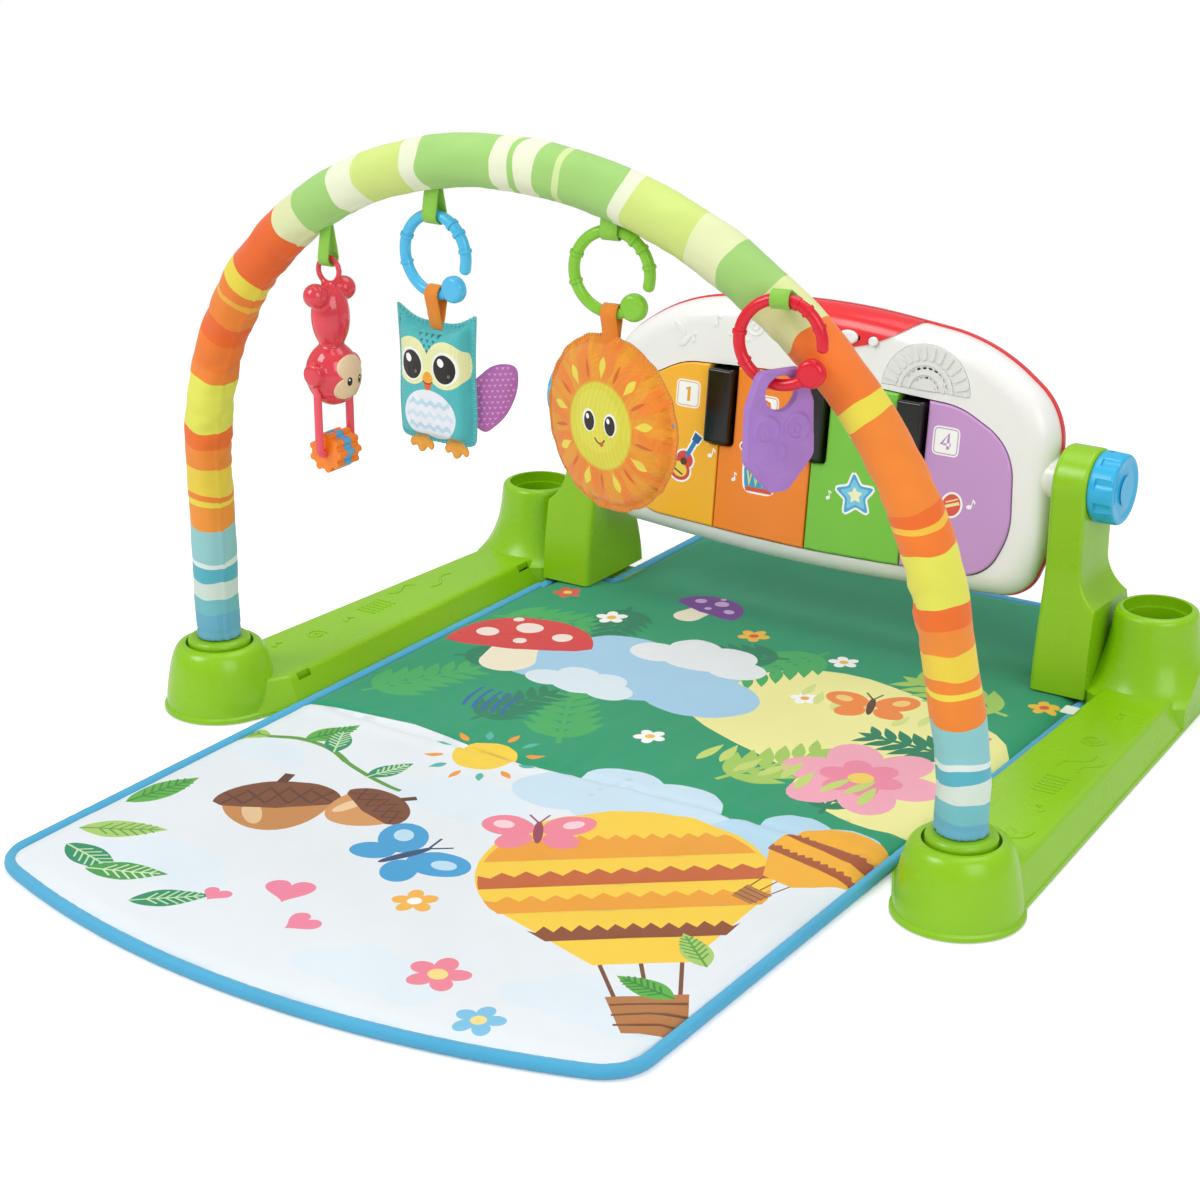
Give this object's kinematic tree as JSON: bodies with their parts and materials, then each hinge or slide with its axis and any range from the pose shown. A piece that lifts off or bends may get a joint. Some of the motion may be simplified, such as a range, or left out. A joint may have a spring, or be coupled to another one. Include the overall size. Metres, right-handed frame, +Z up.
{
  "type": "baby activity play gym",
  "caption": "Baby activity gym: padded floor mat between two moulded rails, lift-out toy arch with hanging toys, and a tilting kick piano on posts.",
  "frame": {"origin": "on the floor under the middle of the mat, midway between the two feet of the toy arch", "axes": "+X to the right of someone facing the piano from the open end of the mat, +Y towards the piano, +Z up"},
  "size_m": [0.719, 0.879, 0.4793],
  "materials": {
    "rail_plastic": "satin moulded green plastic",
    "post_plastic": "satin moulded green plastic",
    "pad_rubber": "soft moulded foot pad",
    "screw_steel": "zinc plated screw",
    "dark_plastic": "moulded plastic beam",
    "mat_fabric": "printed quilted polyester",
    "binding_fabric": "woven edge binding",
    "tab_fabric": "woven tab",
    "white_plastic": "gloss moulded white plastic",
    "red_plastic": "gloss moulded red plastic",
    "grille_plastic": "moulded grille",
    "board_green": "circuit board",
    "dome_rubber": "silicone key contacts",
    "steel_rod": "drawn steel rod",
    "battery": "sleeved cell",
    "key_yellow": "gloss moulded key",
    "key_orange": "gloss moulded key",
    "key_green": "gloss moulded key",
    "key_purple": "gloss moulded key",
    "key_black": "gloss moulded key",
    "knob_blue": "gloss moulded knob",
    "control_white": "gloss moulded control",
    "arch_plastic": "extruded plastic tube",
    "plug_plastic": "satin moulded plug",
    "sleeve_fabric": "striped woven sleeve",
    "loop_fabric": "woven strap",
    "ring_blue": "gloss moulded ring",
    "ring_green": "gloss moulded ring",
    "ring_red": "gloss moulded ring",
    "owl_fabric": "plush fabric",
    "wing_fabric": "printed cotton pad",
    "feet_fabric": "stuffed satin",
    "tag_fabric": "woven tag",
    "sun_fabric": "printed soft fabric",
    "teether_rubber": "soft moulded teether",
    "rattle_red": "gloss moulded rattle",
    "rattle_tan": "moulded face plate",
    "bead_orange": "moulded bead",
    "bead_blue": "moulded bead"
  },
  "bodies": {
    "base": {"right_rail": "rail_plastic", "left_rail": "rail_plastic", "rail_feet": "pad_rubber", "right_post": "post_plastic", "left_post": "post_plastic", "rear_crossbar": "dark_plastic", "base_screws": "screw_steel", "mat": "mat_fabric", "mat_binding": "binding_fabric", "mat_tab": "tab_fabric"},
    "arch": {"right_arch_tube": "arch_plastic", "left_arch_tube": "arch_plastic", "arch_joiner": "arch_plastic", "right_arch_plug": "plug_plastic", "left_arch_plug": "plug_plastic", "arch_sleeve": "sleeve_fabric", "hang_loop_1": "loop_fabric", "hang_loop_2": "loop_fabric", "hang_loop_3": "loop_fabric", "hang_loop_4": "loop_fabric"},
    "panel": {"front_housing": "white_plastic", "rear_housing": "red_plastic", "control_cover": "red_plastic", "speaker_grille": "grille_plastic", "right_pivot_hub": "white_plastic", "left_pivot_hub": "white_plastic", "key_rod": "steel_rod", "circuit_board": "board_green", "key_domes": "dome_rubber", "speaker": "dark_plastic", "batteries": "battery", "housing_screws": "screw_steel"},
    "right_knob": {"right_knob": "knob_blue"},
    "left_knob": {"left_knob": "knob_blue"},
    "key_1": {"key_1": "key_yellow"},
    "key_2": {"key_2": "key_orange"},
    "key_3": {"key_3": "key_green"},
    "key_4": {"key_4": "key_purple"},
    "black_key_1": {"black_key_1": "key_black"},
    "black_key_2": {"black_key_2": "key_black"},
    "black_key_3": {"black_key_3": "key_black"},
    "mode_slider": {"mode_slider": "control_white"},
    "mode_button": {"mode_button": "control_white"},
    "battery_door": {"battery_door": "red_plastic"},
    "ring_blue": {"ring_blue": "ring_blue"},
    "ring_green": {"ring_green": "ring_green"},
    "ring_red": {"ring_red": "ring_red"},
    "owl": {"owl_body": "owl_fabric", "owl_wings": "wing_fabric", "owl_feet": "feet_fabric", "owl_tag": "tag_fabric"},
    "sun": {"sun_cushion": "sun_fabric", "sun_tag": "tag_fabric"},
    "teether": {"teether": "teether_rubber"},
    "rattle": {"rattle_body": "rattle_red", "rattle_face": "rattle_tan", "rattle_arm_loop": "rattle_red"},
    "bead_1": {"rattle_bead_1": "bead_orange"},
    "bead_2": {"rattle_bead_2": "bead_blue"},
    "bead_3": {"rattle_bead_3": "bead_orange"}
  },
  "joints": [
    {"name": "arch_lift", "type": "slide", "parent": "base", "child": "arch", "axis": [0, 0, 1], "range_m": [0, 0.062]},
    {"name": "panel_tilt", "type": "hinge", "parent": "base", "child": "panel", "pos_m": [0, 0.388, 0.172], "axis": [1, 0, 0], "range_deg": [-60, 40]},
    {"name": "right_knob_turn", "type": "hinge", "parent": "panel", "child": "right_knob", "pos_m": [0.247, 0.388, 0.172], "axis": [1, 0, 0], "continuous": true},
    {"name": "left_knob_turn", "type": "hinge", "parent": "panel", "child": "left_knob", "pos_m": [-0.247, 0.388, 0.172], "axis": [1, 0, 0], "continuous": true},
    {"name": "key_1_press", "type": "hinge", "parent": "panel", "child": "key_1", "pos_m": [-0.129, 0.38685, 0.22955], "axis": [1, 0, 0], "range_deg": [0, 1.6], "stiffness_Nm_per_rad": 8, "springref_deg": -1.72},
    {"name": "key_2_press", "type": "hinge", "parent": "panel", "child": "key_2", "pos_m": [-0.043, 0.38685, 0.22955], "axis": [1, 0, 0], "range_deg": [0, 1.6], "stiffness_Nm_per_rad": 8, "springref_deg": -1.72},
    {"name": "key_3_press", "type": "hinge", "parent": "panel", "child": "key_3", "pos_m": [0.043, 0.38685, 0.22955], "axis": [1, 0, 0], "range_deg": [0, 1.6], "stiffness_Nm_per_rad": 8, "springref_deg": -1.72},
    {"name": "key_4_press", "type": "hinge", "parent": "panel", "child": "key_4", "pos_m": [0.129, 0.38685, 0.22955], "axis": [1, 0, 0], "range_deg": [0, 1.6], "stiffness_Nm_per_rad": 8, "springref_deg": -1.72},
    {"name": "black_key_1_press", "type": "hinge", "parent": "panel", "child": "black_key_1", "pos_m": [-0.086, 0.38685, 0.22955], "axis": [1, 0, 0], "range_deg": [0, 3], "stiffness_Nm_per_rad": 3, "springref_deg": -1.72},
    {"name": "black_key_2_press", "type": "hinge", "parent": "panel", "child": "black_key_2", "pos_m": [0, 0.38685, 0.22955], "axis": [1, 0, 0], "range_deg": [0, 3], "stiffness_Nm_per_rad": 3, "springref_deg": -1.72},
    {"name": "black_key_3_press", "type": "hinge", "parent": "panel", "child": "black_key_3", "pos_m": [0.086, 0.38685, 0.22955], "axis": [1, 0, 0], "range_deg": [0, 3], "stiffness_Nm_per_rad": 3, "springref_deg": -1.72},
    {"name": "mode_slide", "type": "slide", "parent": "panel", "child": "mode_slider", "axis": [1, 0, 0], "range_m": [-0.003, 0.003]},
    {"name": "mode_press", "type": "slide", "parent": "panel", "child": "mode_button", "axis": [0, 0.9929, -0.1191], "range_m": [0, 0.0015], "stiffness_N_per_m": 300, "springref_m": -0.001},
    {"name": "door_out", "type": "slide", "parent": "panel", "child": "battery_door", "axis": [0, 0.9929, -0.1191], "range_m": [0, 0.03]},
    {"name": "blue_ring_swing", "type": "hinge", "parent": "arch", "child": "ring_blue", "pos_m": [-0.06, -0.04915, 0.42198], "axis": [0.9976, -0.0698, 0], "range_deg": [-40, 40]},
    {"name": "owl_swing", "type": "hinge", "parent": "ring_blue", "child": "owl", "pos_m": [-0.06, -0.04915, 0.36938], "axis": [0.9976, -0.0698, 0], "range_deg": [-35, 35]},
    {"name": "green_ring_swing", "type": "hinge", "parent": "arch", "child": "ring_green", "pos_m": [0.078, -0.04858, 0.42768], "axis": [0.9903, 0.1392, 0], "range_deg": [-40, 40]},
    {"name": "sun_swing", "type": "hinge", "parent": "ring_green", "child": "sun", "pos_m": [0.078, -0.04858, 0.37508], "axis": [0.9903, 0.1392, 0], "range_deg": [-35, 35]},
    {"name": "red_ring_swing", "type": "hinge", "parent": "arch", "child": "ring_red", "pos_m": [0.2105, -0.06702, 0.40543], "axis": [0.9816, 0.1908, 0], "range_deg": [-35, 2]},
    {"name": "teether_swing", "type": "hinge", "parent": "ring_red", "child": "teether", "pos_m": [0.2105, -0.06702, 0.35283], "axis": [0.9816, 0.1908, 0], "range_deg": [-30, 2]},
    {"name": "rattle_swing", "type": "hinge", "parent": "arch", "child": "rattle", "pos_m": [-0.155, -0.04419, 0.38104], "axis": [1, 0, 0], "range_deg": [-40, 40]},
    {"name": "bead_1_spin", "type": "hinge", "parent": "rattle", "child": "bead_1", "pos_m": [-0.155, -0.05209, 0.24504], "axis": [0, 1, 0], "continuous": true},
    {"name": "bead_2_spin", "type": "hinge", "parent": "rattle", "child": "bead_2", "pos_m": [-0.155, -0.04419, 0.24504], "axis": [0, 1, 0], "continuous": true},
    {"name": "bead_3_spin", "type": "hinge", "parent": "rattle", "child": "bead_3", "pos_m": [-0.155, -0.03629, 0.24504], "axis": [0, 1, 0], "continuous": true}
  ]
}
